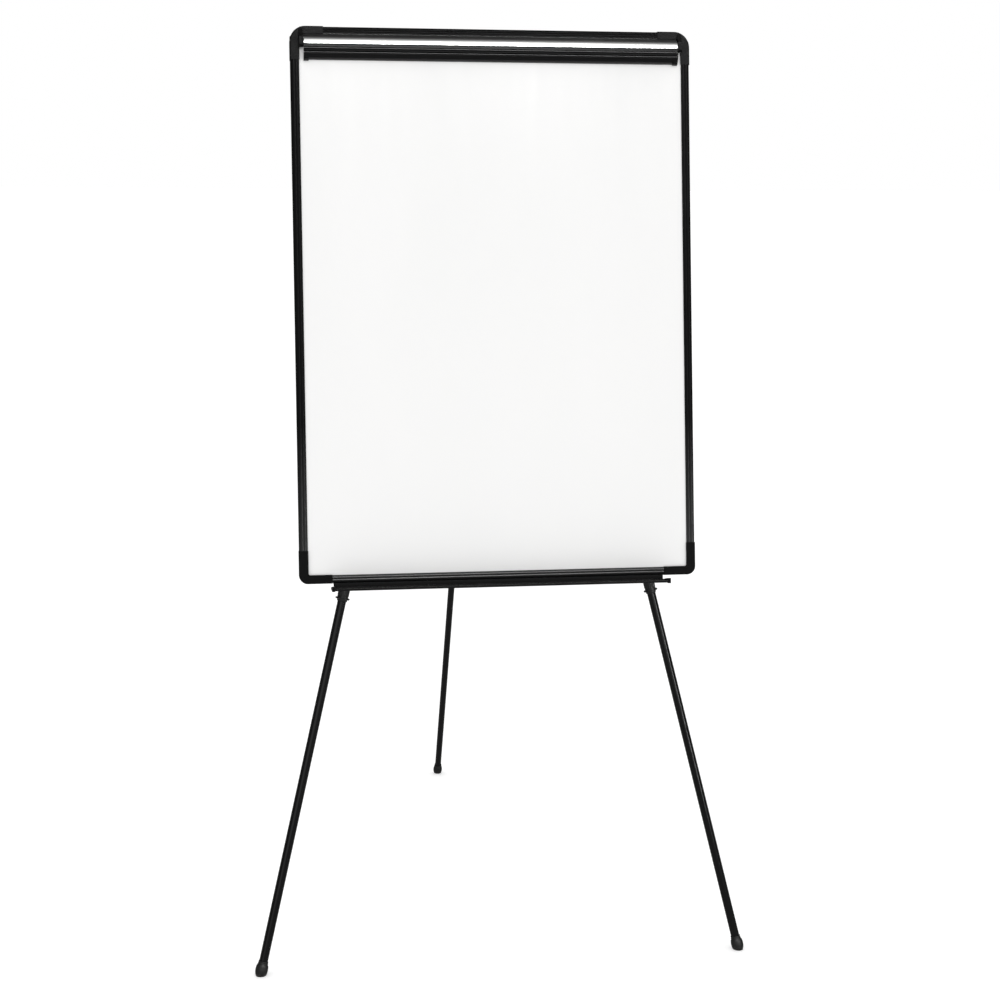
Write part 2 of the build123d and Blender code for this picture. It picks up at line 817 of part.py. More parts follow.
for name, x in (("left", -pivot_x), ("right", pivot_x)):
    pin_plane = Plane(origin=at(x, pivot_up, 0), x_dir=-SIDE, z_dir=BACK)
    save(rivet(pin_plane, seat_back - running_gap, hood_rear + running_gap), f"{name}_leg_pin")
rear_pin_half = tongue_half + tongue_gap + cheek_thickness + running_gap
save(rivet(Plane(origin=rear_pivot, x_dir=BACK, z_dir=SIDE), -rear_pin_half, rear_pin_half), "rear_leg_pin")

# ---------------------------------------------------------------- guides that stop the front legs' splay
guide_length = 18.0
guide_wall = 2.6
guide_base_length = 52.0
guide_base_thickness = 2.4


def front_line(hand):
    """Direction of a front leg, from its pivot to its foot; hand is -1 on the left."""
    return SIDE * hand * sin(front_splay) - UP * cos(front_splay)


guide_slot_radius = upper_radius(front_lower_radius) + loose_gap
left_line = front_line(-1)
guide_plane = Plane(
    origin=at(-pivot_x, pivot_up, leg_plane_back) + left_line * guide_along,
    x_dir=BACK.cross(left_line),
    z_dir=left_line,
)
with BuildPart() as leg_guide:
    with BuildSketch(facing_back(seat_back)) as base:
        with Locations((guide_x, bottom_screw_up)):
            Rectangle(guide_base_length, bottom_rail_width - 2)
        fillet(base.vertices(), 2)
    extrude(amount=guide_base_thickness)
    with BuildSketch(guide_plane):
        low = seat_back - leg_plane_back
        outer = guide_slot_radius + guide_wall
        with Locations((guide_wall / 2, (low + outer) / 2)):
            Rectangle(outer + guide_slot_radius, outer - low)
    extrude(amount=guide_length / 2, both=True)
    with BuildSketch(guide_plane):
        Circle(guide_slot_radius)
        with Locations((-guide_slot_radius, 0)):
            Rectangle(2 * guide_slot_radius, 2 * guide_slot_radius)
    extrude(amount=guide_length, both=True, mode=Mode.SUBTRACT)
    extrude(
        discs(facing_front(seat_back + guide_base_thickness), guide_spots, screw_radius + loose_gap),
        amount=guide_base_thickness * 1.5,
        mode=Mode.SUBTRACT,
    )
save_pair(leg_guide, "leg_guide")
guide_screw_length = 7.0
guide_seat = facing_back(seat_back + guide_base_thickness)
save(screws(guide_seat, [(-x, up) for x, up in guide_spots], guide_screw_length), "leg_guide_screws")

# ---------------------------------------------------------------- legs
tube_wall = 0.7
upper_bore_gap = 0.5  # between the two tubes
bush_length = 37.0
ring_sleeve_length = 22.0
ring_flange_thickness = 3.0
ring_nose_length = 4.0
wing_reach = 1.66  # half the flange's width, over the lower tube's radius
plug_in_tube = 35.0
foot_height = 27.0
foot_web = 6.0  # rubber under the end of the tube
foot_cut = 5.0  # how far the foot is drawn on below the floor, before it is cut level


def build_leg(name, pivot, foot, hinge, lower_radius):
    """Every piece of one leg, placed along the line from its pivot to the middle of its foot."""
    leg_length = (foot - pivot).length
    line = (foot - pivot).normalized()
    leg = Plane(origin=pivot, x_dir=hinge, z_dir=line)
    swing = Plane(origin=pivot, x_dir=line, z_dir=hinge)
    outer = upper_radius(lower_radius)
    bore = lower_radius + upper_bore_gap
    eye = eye_radius(lower_radius)

    with BuildPart() as upper_tube:
        extrude(ring(leg.offset(eye_neck + 3), outer, bore), amount=upper_tube_end - eye_neck - 3)
    save(upper_tube, f"{name}_upper_tube")

    with BuildPart() as hinge_eye:
        with BuildSketch(swing):
            Circle(eye)
            with Locations((eye_neck / 2, 0)):
                Rectangle(eye_neck, 2 * eye)
        extrude(amount=tongue_half, both=True)
        extrude(discs(leg.offset(eye_neck), [(0, 0)], outer), amount=3 - running_gap)
        extrude(discs(leg.offset(eye_neck), [(0, 0)], bore - running_gap), amount=3 + plug_in_tube)
        with BuildSketch(swing):
            Circle(pin_radius + running_gap)
        extrude(amount=2 * tongue_half, both=True, mode=Mode.SUBTRACT)
    save(hinge_eye, f"{name}_hinge_eye")

    with BuildPart() as lock_bush:
        bush_top = upper_tube_end - bush_length
        extrude(
            ring(leg.offset(bush_top), bore - running_gap, lower_radius + running_gap), amount=bush_length
        )
        extrude(
            ring(leg.offset(upper_tube_end + running_gap), outer - 0.1, lower_radius + running_gap), amount=3
        )
        extrude(
            ring(leg.offset(upper_tube_end - 1), bore - running_gap, lower_radius + running_gap), amount=2
        )
        with BuildSketch(leg.offset(upper_tube_end - bush_length * 0.6)):
            with PolarLocations(lower_radius, 4):
                Rectangle(4, 1.2)
        extrude(amount=bush_length, mode=Mode.SUBTRACT)
    save(lock_bush, f"{name}_lock_bush")

    with BuildPart() as lock_ring:
        sleeve_inner = outer + running_gap
        sleeve_outer = sleeve_inner + 0.9
        flange_start = upper_tube_end + 3.6
        sleeve_start = flange_start - ring_sleeve_length
        extrude(ring(leg.offset(sleeve_start), sleeve_outer, sleeve_inner), amount=ring_sleeve_length)
        with BuildSketch(leg.offset(flange_start)):
            Ellipse(sleeve_outer + 0.4, wing_reach * lower_radius)
            Circle(lower_radius + 2 * running_gap, mode=Mode.SUBTRACT)
        extrude(amount=ring_flange_thickness)
        fillet(lock_ring.edges().filter_by(GeomType.ELLIPSE), ring_flange_thickness * 0.3)
        nose_start = flange_start + ring_flange_thickness
        extrude(
            ring(leg.offset(nose_start), lower_radius + 1.6, lower_radius + 2 * running_gap),
            amount=ring_nose_length,
        )
        nose_rim = lock_ring.edges().filter_by(GeomType.CIRCLE).filter_by(
            lambda edge: edge.radius > lower_radius + 1
            and leg.to_local_coords(edge.center()).Z > nose_start + ring_nose_length - 0.1
        )
        chamfer(nose_rim, 1.2)
    save(lock_ring, f"{name}_lock_ring")

    tube_bottom = leg_length - foot_web
    tube_top = tube_bottom - lower_tube_length
    with BuildPart() as lower_tube:
        extrude(ring(leg.offset(tube_top), lower_radius, lower_radius - tube_wall), amount=lower_tube_length)
    save(lower_tube, f"{name}_lower_tube")

    with BuildPart() as guide_plug:
        extrude(discs(leg.offset(tube_top - 8), [(0, 0)], bore - running_gap), amount=8 - running_gap)
        plug_radius = lower_radius - tube_wall - running_gap
        extrude(discs(leg.offset(tube_top - 1), [(0, 0)], plug_radius), amount=20)
    save(guide_plug, f"{name}_guide_plug")

    with BuildPart() as rubber_foot:
        side_dir = hinge.cross(line)
        profile_plane = Plane(origin=foot, x_dir=side_dir, z_dir=side_dir.cross(-line))
        with BuildSketch(profile_plane):
            with BuildLine():
                neck = lower_radius + 0.8
                belly = lower_radius * 1.46
                socket = lower_radius + running_gap
                below = -foot_cut
                Polyline(
                    (neck, foot_height),
                    (socket, foot_height),
                    (socket, foot_web),
                    (0, foot_web),
                    (0, below),
                    (belly * 0.6, below),
                )
                Spline(
                    (belly * 0.6, below),
                    (belly * 0.9, 3.5),
                    (belly, 11),
                    (belly * 0.88, 19),
                    (neck, foot_height),
                )
            make_face()
        revolve(axis=Axis(foot, line))
        split(bisect_by=Plane.XY, keep=Keep.TOP)
    save(rubber_foot, f"{name}_foot")


for name, hand in (("left_leg", -1), ("right_leg", 1)):
    pivot = at(hand * pivot_x, pivot_up, leg_plane_back)
    foot = at(hand * front_foot_x, floor_up, leg_plane_back)
    build_leg(name, pivot, foot, BACK * hand, front_lower_radius)
build_leg("rear_leg", rear_pivot, rear_foot, -SIDE, rear_lower_radius)
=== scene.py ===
"""Looks for a flipchart easel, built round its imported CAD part. Metres, in the part's own frame."""

import json
from math import cos, hypot, pi, radians, sin, sqrt, tau

import bmesh
import bpy
from mathutils import Matrix, Vector


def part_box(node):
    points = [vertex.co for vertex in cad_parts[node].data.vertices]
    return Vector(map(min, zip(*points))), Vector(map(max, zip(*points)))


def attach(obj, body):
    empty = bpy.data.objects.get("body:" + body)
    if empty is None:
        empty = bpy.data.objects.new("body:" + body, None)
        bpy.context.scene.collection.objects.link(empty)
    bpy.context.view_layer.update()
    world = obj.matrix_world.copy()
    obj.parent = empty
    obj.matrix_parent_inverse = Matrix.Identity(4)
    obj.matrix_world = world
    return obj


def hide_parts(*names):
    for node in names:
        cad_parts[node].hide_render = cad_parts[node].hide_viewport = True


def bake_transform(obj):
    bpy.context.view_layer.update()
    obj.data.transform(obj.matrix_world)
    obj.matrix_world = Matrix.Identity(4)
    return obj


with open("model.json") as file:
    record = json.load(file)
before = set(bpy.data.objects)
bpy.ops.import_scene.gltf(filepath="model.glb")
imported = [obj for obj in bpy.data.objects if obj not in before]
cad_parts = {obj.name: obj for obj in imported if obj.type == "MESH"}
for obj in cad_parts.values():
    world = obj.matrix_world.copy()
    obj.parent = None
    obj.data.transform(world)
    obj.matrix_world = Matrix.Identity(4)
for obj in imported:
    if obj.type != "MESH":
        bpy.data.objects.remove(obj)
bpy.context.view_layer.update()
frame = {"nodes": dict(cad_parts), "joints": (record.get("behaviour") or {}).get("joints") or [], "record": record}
joints = {joint["name"]: joint for joint in frame["joints"]}
slots = {part["node"]: part["material_slot"] for part in frame["record"]["subparts"]}
MM = 0.001
LEGS = ("left", "right", "rear")
FOOT_SEGMENTS = 72
LOCK_SEGMENTS = 160
LOCK_RIBS = 20
SOLE_BEVEL = 0.7 * MM
BELLY_SHARE = 1.46  # a foot's widest radius, over its tube's
WING_SHARE = 1.66  # half a lock flange's width, over the lower tube's radius
FLANGE_BELOW_TUBE = 3.6  # mm from the upper tube's end to the lock's flange

# The board's own directions, and each leg's line and hinge
SIDE = Vector((1, 0, 0))
BACK = Vector(joints["right_leg_fold"]["axis"])
UP = SIDE.cross(BACK)
leg_line = {leg: Vector(joints[f"{leg}_leg_height"]["axis"]) for leg in LEGS}
leg_hinge = {leg: Vector(joints[f"{leg}_leg_fold"]["axis"]) for leg in LEGS}
leg_pivot = {leg: Vector(joints[f"{leg}_leg_fold"]["pos_m"]) for leg in LEGS}


# ------------------------------------------------------------------------------ node materials
class Paint:
    """A node material being built. Its textures run along one direction of the object, the grain."""

    def __init__(self, name, grain):
        self.material = bpy.data.materials.new(name)
        self.material.use_nodes = True
        self.tree = self.material.node_tree
        self.shader = self.tree.nodes["Principled BSDF"]
        place = self.add("ShaderNodeTexCoord").outputs["Object"]
        turn = grain.rotation_difference(Vector((0, 0, 1))).to_euler()
        mapping = self.add("ShaderNodeMapping", Vector=place, Rotation=turn)
        self.place = mapping.outputs["Vector"]
        self.normal = None

    def add(self, kind, settings=None, **inputs):
        """A new node; settings are its own properties, and inputs are values or sockets to feed it."""
        node = self.tree.nodes.new(kind)
        for key, value in (settings or {}).items():
            setattr(node, key, value)
        for key, value in inputs.items():
            self.feed(node.inputs[key.replace("_", " ")], value)
        return node

    def feed(self, socket, value):
        if isinstance(value, bpy.types.NodeSocket):
            self.tree.links.new(value, socket)
        else:
            socket.default_value = value

    def math(self, operation, *values, clamp=False):
        node = self.add("ShaderNodeMath", {"operation": operation, "use_clamp": clamp})
        for socket, value in zip(node.inputs, values):
            self.feed(socket, value)
        return node.outputs[0]

    def noise(self, scale, detail=3.0, along=1.0, roughness=0.5):
        """Noise with a number of lumps a metre across the grain, and a share of that number along it."""
        stretch = self.add("ShaderNodeMapping", Vector=self.place, Scale=(1, 1, along))
        texture = self.add(
            "ShaderNodeTexNoise", Vector=stretch.outputs[0], Scale=scale, Detail=detail, Roughness=roughness
        )
        return texture.outputs[0]

    def cells(self, scale, smooth=0.6):
        """Soft pebbles, for a leather-like grain on mouldings."""
        wobble = self.noise(scale * 0.7, 2.0)
        place = self.add("ShaderNodeVectorMath", {"operation": "MULTIPLY_ADD"})
        self.feed(place.inputs[0], self.add("ShaderNodeCombineXYZ", X=wobble, Y=wobble).outputs[0])
        self.feed(place.inputs[1], (0.8 / scale, 0.8 / scale, 0.0))
        self.feed(place.inputs[2], self.place)
        texture = self.add(
            "ShaderNodeTexVoronoi", {"feature": "SMOOTH_F1"},
            Vector=place.outputs[0], Scale=scale, Smoothness=smooth,
        )
        return texture.outputs["Distance"]

    def span(self, value, low, high, start=0.3, end=0.7):
        """Moves a value from the range start to end on to the range low to high."""
        ends = {"From_Min": start, "From_Max": end, "To_Min": low, "To_Max": high}
        return self.add("ShaderNodeMapRange", Value=value, **ends).outputs[0]

    def mix(self, share, first, second):
        node = self.add("ShaderNodeMix", {"data_type": "RGBA"})
        self.feed(node.inputs[0], share)
        self.feed(node.inputs[6], (*first, 1) if isinstance(first, tuple) else first)
        self.feed(node.inputs[7], (*second, 1) if isinstance(second, tuple) else second)
        return node.outputs[2]

    def edges(self, radius):
        """A mask that is 1 on outer edges within a radius, broken up by noise."""
        rounded = self.add("ShaderNodeBevel", {"samples": 4}, Radius=radius).outputs[0]
        plain = self.add("ShaderNodeNewGeometry").outputs["Normal"]
        dot = self.add("ShaderNodeVectorMath", {"operation": "DOT_PRODUCT"})
        self.feed(dot.inputs[0], rounded)
        self.feed(dot.inputs[1], plain)
        bend = self.span(dot.outputs["Value"], 1.0, 0.0, 0.80, 0.97)
        return self.math("MULTIPLY", bend, self.span(self.noise(90), 0.0, 1.0, 0.45, 0.62))

    def dust(self, share):
        """A mask for the faint dust that lies on what faces up."""
        normal = self.add("ShaderNodeNewGeometry").outputs["Normal"]
        height = self.add("ShaderNodeSeparateXYZ", Vector=normal).outputs[2]
        facing = self.span(height, 0.0, share, 0.4, 0.95)
        return self.math("MULTIPLY", facing, self.span(self.noise(35, 5.0), 0.2, 1.0))

    def bump(self, height, depth):
        """Raises the surface by a height texture; depth is in metres."""
        inputs = {"Height": height, "Distance": depth}
        if self.normal:
            inputs["Normal"] = self.normal
        self.normal = self.add("ShaderNodeBump", **inputs).outputs[0]

    def soften(self, radius):
        """Rounds sharp edges in the shading."""
        self.normal = self.add("ShaderNodeBevel", {"samples": 4}, Radius=radius).outputs[0]

    def done(self, colour, roughness, **more):
        self.feed(self.shader.inputs["Base Color"], (*colour, 1) if isinstance(colour, tuple) else colour)
        self.feed(self.shader.inputs["Roughness"], roughness)
        for key, value in more.items():
            self.feed(self.shader.inputs[key.replace("_", " ")], value)
        if self.normal:
            self.feed(self.shader.inputs["Normal"], self.normal)
        return self.material


DUST = (0.30, 0.29, 0.27)


def dry_erase_white(paint):
    """Glossy white coating with a faint waviness and the thin haze that wiping leaves."""
    haze = paint.noise(5, 5.0, along=0.35)
    wipes = paint.noise(46, 4.0, along=0.07)
    paint.bump(paint.noise(7, 1.0), 0.25 * MM)
    paint.bump(paint.noise(420, 2.0), 0.003 * MM)
    colour = paint.mix(paint.span(haze, 0.0, 1.0), (0.900, 0.900, 0.895), (0.915, 0.913, 0.908))
    roughness = paint.math("ADD", paint.span(haze, 0.12, 0.17), paint.span(wipes, 0.0, 0.05))
    return paint.done(colour, roughness, Specular_IOR_Level=0.4, Coat_Weight=0.1, Coat_Roughness=0.08)


def fibreboard(paint):
    """Pressed brown fibre."""
    fibre = paint.noise(700, 5.0, along=0.3)
    paint.bump(fibre, 0.08 * MM)
    colour = paint.mix(paint.span(fibre, 0.0, 1.0), (0.20, 0.12, 0.065), (0.36, 0.235, 0.135))
    return paint.done(colour, paint.span(fibre, 0.7, 0.9))


def back_sheet_grey(paint):
    """Painted backing sheet with roller marks and a few rubbed places."""
    roller = paint.noise(240, 3.0, along=0.04)
    cloud = paint.noise(6, 4.0)
    rubbed = paint.span(paint.noise(28, 6.0, along=0.15, roughness=0.7), 0.0, 1.0, 0.60, 0.74)
    paint.bump(roller, 0.02 * MM)
    paint.bump(paint.noise(4, 1.0), 0.6 * MM)
    base = paint.mix(paint.span(cloud, 0.0, 1.0), (0.175, 0.182, 0.188), (0.205, 0.21, 0.215))
    colour = paint.mix(paint.math("MULTIPLY", rubbed, 0.35), base, (0.33, 0.335, 0.34))
    return paint.done(colour, paint.span(roller, 0.42, 0.55))


def black_rail(paint):
    """Black anodised extrusion with fine die lines, and a painted sheen: its reflectivity rises towards the bottom
    of the board.
    """
    lines = paint.noise(1500, 2.0, along=0.004)
    cloud = paint.noise(14, 3.0, along=0.2)
    paint.soften(0.25 * MM)
    paint.bump(lines, 0.006 * MM)
    edge = paint.edges(0.5 * MM)
    base = paint.mix(paint.span(cloud, 0.0, 1.0), (0.0028, 0.0028, 0.003), (0.0048, 0.0048, 0.005))
    worn = paint.mix(paint.math("MULTIPLY", edge, 0.25), base, (0.10, 0.10, 0.10))
    colour = paint.mix(paint.dust(0.05), worn, DUST)
    roughness = paint.math("ADD", paint.span(lines, 0.22, 0.30), paint.span(cloud, 0.0, 0.05))
    place = paint.add("ShaderNodeTexCoord").outputs["Object"]
    height = paint.add("ShaderNodeSeparateXYZ", Vector=place).outputs[2]
    # painted sheen: the specular level grows from the top of the board down to the bottom rail, standing in for
    # the light that the bottom rail reflects
    painted_sheen = paint.span(height, 0.5, 0.05, 0.72, 1.0)
    return paint.done(colour, roughness, Specular_IOR_Level=painted_sheen)


def corner_plastic(paint):
    """Black moulding with a leather-like grain."""
    grain = paint.cells(430)
    paint.soften(0.5 * MM)
    paint.bump(grain, 0.16 * MM)
    paint.bump(paint.noise(1600, 2.0), 0.012 * MM)
    edge = paint.edges(0.9 * MM)
    base = paint.mix(paint.span(grain, 0.0, 1.0, 0.1, 0.6), (0.006, 0.006, 0.0062), (0.0035, 0.0035, 0.0037))
    worn = paint.mix(paint.math("MULTIPLY", edge, 0.3), base, (0.05, 0.05, 0.05))
    colour = paint.mix(paint.dust(0.06), worn, DUST)
    return paint.done(colour, paint.span(paint.noise(60), 0.30, 0.42), Specular_IOR_Level=0.06)


def bright_bar(paint):
    """Aluminium brushed along its length."""
    brushed = paint.noise(2600, 3.0, along=0.002)
    cloud = paint.noise(11, 3.0, along=0.3)
    paint.soften(0.3 * MM)
    paint.bump(brushed, 0.010 * MM)
    colour = paint.mix(paint.span(cloud, 0.0, 1.0), (0.74, 0.74, 0.735), (0.82, 0.82, 0.81))
    roughness = paint.math("ADD", paint.span(brushed, 0.14, 0.24), paint.span(cloud, 0.0, 0.04))
    return paint.done(colour, roughness, Metallic=1.0)


def ribbed_black(paint):
    """Glossy black extruded plastic."""
    lines = paint.noise(1800, 2.0, along=0.003)
    cloud = paint.noise(18, 4.0, along=0.15)
    paint.soften(0.3 * MM)
    paint.bump(lines, 0.004 * MM)
    base = paint.mix(paint.span(cloud, 0.0, 1.0), (0.0025, 0.0025, 0.0027), (0.0042, 0.0042, 0.0044))
    scuff = paint.span(paint.noise(70, 6.0, along=0.2, roughness=0.75), 0.0, 0.18, 0.60, 0.72)
    colour = paint.mix(scuff, base, (0.03, 0.03, 0.03))
    return paint.done(
        colour, paint.span(cloud, 0.16, 0.22), Specular_IOR_Level=0.12, Coat_Weight=0.35, Coat_Roughness=0.07
    )


def soft_pad(paint):
    """Matt rubber strip."""
    pores = paint.noise(2400, 3.0)
    paint.bump(pores, 0.03 * MM)
    colour = paint.mix(pores, (0.012, 0.012, 0.012), (0.024, 0.024, 0.023))
    return paint.done(colour, paint.span(pores, 0.7, 0.85))


def spring_steel(paint):
    """Drawn wire with a trace of oil."""
    drawn = paint.noise(3000, 2.0, along=0.1)
    paint.bump(drawn, 0.006 * MM)
    colour = paint.mix(drawn, (0.38, 0.37, 0.36), (0.55, 0.55, 0.54))
    return paint.done(colour, paint.span(drawn, 0.25, 0.4), Metallic=1.0)


def zinc_steel(paint):
    """Bright zinc plating with its faint blue and yellow bloom."""
    bloom = paint.noise(320, 3.0)
    paint.soften(0.2 * MM)
    paint.bump(paint.noise(1900, 3.0), 0.01 * MM)
    colour = paint.mix(paint.span(bloom, 0.0, 1.0), (0.58, 0.60, 0.63), (0.68, 0.66, 0.60))
    return paint.done(colour, paint.span(bloom, 0.22, 0.38), Metallic=1.0)


def black_screw(paint):
    """Blackened steel."""
    bloom = paint.noise(500, 3.0)
    paint.soften(0.2 * MM)
    paint.bump(paint.noise(2000, 3.0), 0.01 * MM)
    colour = paint.mix(paint.span(bloom, 0.0, 1.0), (0.03, 0.03, 0.032), (0.07, 0.07, 0.07))
    return paint.done(colour, paint.span(bloom, 0.3, 0.45), Metallic=1.0)


def tray_black(paint):
    """Semi-gloss black powder coat on aluminium."""
    peel = paint.noise(900, 2.0)
    lines = paint.noise(1300, 2.0, along=0.004)
    paint.soften(0.3 * MM)
    paint.bump(peel, 0.012 * MM)
    edge = paint.edges(0.5 * MM)
    base = paint.mix(paint.span(lines, 0.0, 1.0), (0.0025, 0.0025, 0.0027), (0.0042, 0.0042, 0.0044))
    worn = paint.mix(paint.math("MULTIPLY", edge, 0.3), base, (0.14, 0.14, 0.14))
    colour = paint.mix(paint.dust(0.07), worn, DUST)
    return paint.done(colour, paint.span(peel, 0.20, 0.32), Specular_IOR_Level=0.16)


def bracket_plastic(paint):
    """Black glass-filled nylon, matt, with short pale fibres near its surface."""
    fibres = paint.span(paint.noise(2600, 4.0, along=0.25, roughness=0.7), 0.0, 0.5, 0.60, 0.75)
    texture = paint.noise(1100, 3.0)
    paint.soften(0.5 * MM)
    paint.bump(texture, 0.025 * MM)
    edge = paint.edges(0.9 * MM)
    base = paint.mix(fibres, (0.007, 0.007, 0.0072), (0.03, 0.03, 0.03))
    worn = paint.mix(paint.math("MULTIPLY", edge, 0.35), base, (0.07, 0.07, 0.07))
    colour = paint.mix(paint.dust(0.08), worn, DUST)
    return paint.done(colour, paint.span(texture, 0.45, 0.6))


def tube_black(paint):
    """Gloss black enamel on drawn steel tube, with fine marks along it where the legs slide."""
    peel = paint.noise(650, 2.0, along=0.5)
    slide = paint.span(paint.noise(1400, 5.0, along=0.012, roughness=0.7), 0.0, 0.22, 0.58, 0.75)
    cloud = paint.noise(20, 4.0, along=0.3)
    paint.bump(peel, 0.010 * MM)
    base = paint.mix(paint.span(cloud, 0.0, 1.0), (0.0022, 0.0022, 0.0024), (0.004, 0.004, 0.0042))
    colour = paint.mix(slide, base, (0.07, 0.07, 0.07))
    roughness = paint.math("ADD", paint.span(cloud, 0.10, 0.16), slide)
    return paint.done(colour, roughness, Specular_IOR_Level=0.25, Coat_Weight=0.15, Coat_Roughness=0.08)


def lock_plastic(paint):
    """Black moulding, a little glossier than the corners."""
    texture = paint.noise(1200, 3.0)
    paint.bump(texture, 0.015 * MM)
    edge = paint.edges(0.6 * MM)
    base = paint.mix(paint.span(texture, 0.0, 1.0), (0.004, 0.004, 0.0042), (0.0065, 0.0065, 0.0067))
    worn = paint.mix(paint.math("MULTIPLY", edge, 0.3), base, (0.06, 0.06, 0.06))
    return paint.done(worn, paint.span(texture, 0.24, 0.36))


def foot_rubber(paint):
    """Black rubber, a little grey where it is scuffed near the floor."""
    pores = paint.noise(1500, 4.0)
    place = paint.add("ShaderNodeTexCoord").outputs["Object"]
    height = paint.add("ShaderNodeSeparateXYZ", Vector=place).outputs[2]
    low = paint.span(height, 1.0, 0.0, 0.0, 9 * MM)
    scuffed = paint.math("MULTIPLY", low, paint.span(paint.noise(300, 5.0), 0.0, 0.35, 0.42, 0.62))
    paint.bump(pores, 0.03 * MM)
    base = paint.mix(pores, (0.0045, 0.0045, 0.0045), (0.008, 0.008, 0.0078))
    return paint.done(paint.mix(scuffed, base, (0.13, 0.125, 0.12)), paint.span(pores, 0.42, 0.6))


FINISHES = {
    maker.__name__: maker
    for maker in (
        dry_erase_white, fibreboard, back_sheet_grey, black_rail, corner_plastic, bright_bar, ribbed_black,
        soft_pad, spring_steel, zinc_steel, black_screw, tray_black, bracket_plastic, tube_black, lock_plastic,
        foot_rubber,
    )
}
painted = {}


def grain_of(node):
    """The way a piece's material runs: along its leg, up the board, or across it."""
    for leg in LEGS:
        if node.startswith(f"{leg}_leg_"):
            return leg, leg_line[leg]
    if node in ("frame_rail_left", "frame_rail_right", "back_sheet", "whiteboard_face"):
        return "upright", UP
    return "across", SIDE


def finish_for(node):
    """The material of a node's slot, along that node's grain; nodes that share both share one material."""
    slot = slots[node]
    way, grain = grain_of(node)
    if (slot, way) not in painted:
        painted[slot, way] = FINISHES[slot](Paint(f"{slot}_{way}", grain))
    return painted[slot, way]


def wear(piece, node):
    """Gives a piece the finish of a CAD node."""
    piece.data.materials.clear()
    piece.data.materials.append(finish_for(node))


for node, cad_object in frame["nodes"].items():
    wear(cad_object, node)


# ------------------------------------------------------------------------------ mesh pieces
def leg_frame(leg):
    """Matrix from a leg's own frame: x along its hinge, z from its pivot down its line."""
    x, z = leg_hinge[leg], leg_line[leg]
    turn = Matrix((x, z.cross(x), z)).transposed().to_4x4()
    return Matrix.Translation(leg_pivot[leg]) @ turn


def mesh_piece(name, build, body, node, sharp=35):
    """An object from a bmesh that stands for a CAD node, riding on a body unless that is None."""
    mesh = bpy.data.meshes.new(name)
    build.normal_update()
    build.to_mesh(mesh)
    build.free()
    mesh.shade_smooth()
    mesh.set_sharp_from_angle(angle=radians(sharp))
    piece = bpy.data.objects.new(name, mesh)
    bpy.context.scene.collection.objects.link(piece)
    if body:
        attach(piece, body)
    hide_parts(node)
    wear(piece, node)
    return piece


def turned(rings, segments, closed):
    """A bmesh turned about Z. rings is a list of functions from an angle to (radius, height); a ring may
    be one point on the axis, given as a plain height. closed joins the last ring to the first."""
    build = bmesh.new()
    loops = []
    for ring in rings:
        if not callable(ring):
            loops.append([build.verts.new((0, 0, ring))])
            continue
        loop = []
        for k in range(segments):
            angle = k * tau / segments
            radius, height = ring(angle)
            loop.append(build.verts.new((radius * cos(angle), radius * sin(angle), height)))
        loops.append(loop)
    for lower, upper in zip(loops, loops[1:] + (loops[:1] if closed else [])):
        for k in range(segments):
            corners = [lower[k % len(lower)], lower[(k + 1) % len(lower)]]
            corners += [upper[(k + 1) % len(upper)], upper[k % len(upper)]]
            build.faces.new(list(dict.fromkeys(corners)))
    bmesh.ops.recalc_face_normals(build, faces=build.faces)
    return build


def plain_ring(radius, height):
    return lambda angle: (radius, height)


def smooth_curve(points, steps):
    """Points on a Catmull-Rom curve through points."""
    curve = []
    padded = [points[0], *points, points[-1]]
    for before, start, end, after in zip(padded, padded[1:], padded[2:], padded[3:]):
        for k in range(steps):
            t = k / steps
            curve.append(tuple(
                b + 0.5 * t * (c - a + t * (2 * a - 5 * b + 4 * c - d + t * (3 * b - a - 3 * c + d)))
                for a, b, c, d in zip(before, start, end, after)
            ))
    return [*curve, points[-1]]


def tube_size(leg, node):
    """Radius of a round tube that runs along a leg, and where its ends are along the leg from its pivot."""
    low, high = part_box(node)
    size = high - low
    line = leg_line[leg]
    # On each axis, the tube's box measures length * |line| + 2 * radius * sqrt(1 - line * line)
    a, b = abs(line.z), 2 * sqrt(1 - line.z**2)
    c, d = abs(line.x), 2 * sqrt(1 - line.x**2)
    length = (d * size.z - b * size.x) / (a * d - b * c)
    radius = (a * size.x - c * size.z) / (a * d - b * c)
    middle = ((low + high) / 2 - leg_pivot[leg]).dot(line)
    return radius, middle - length / 2, middle + length / 2


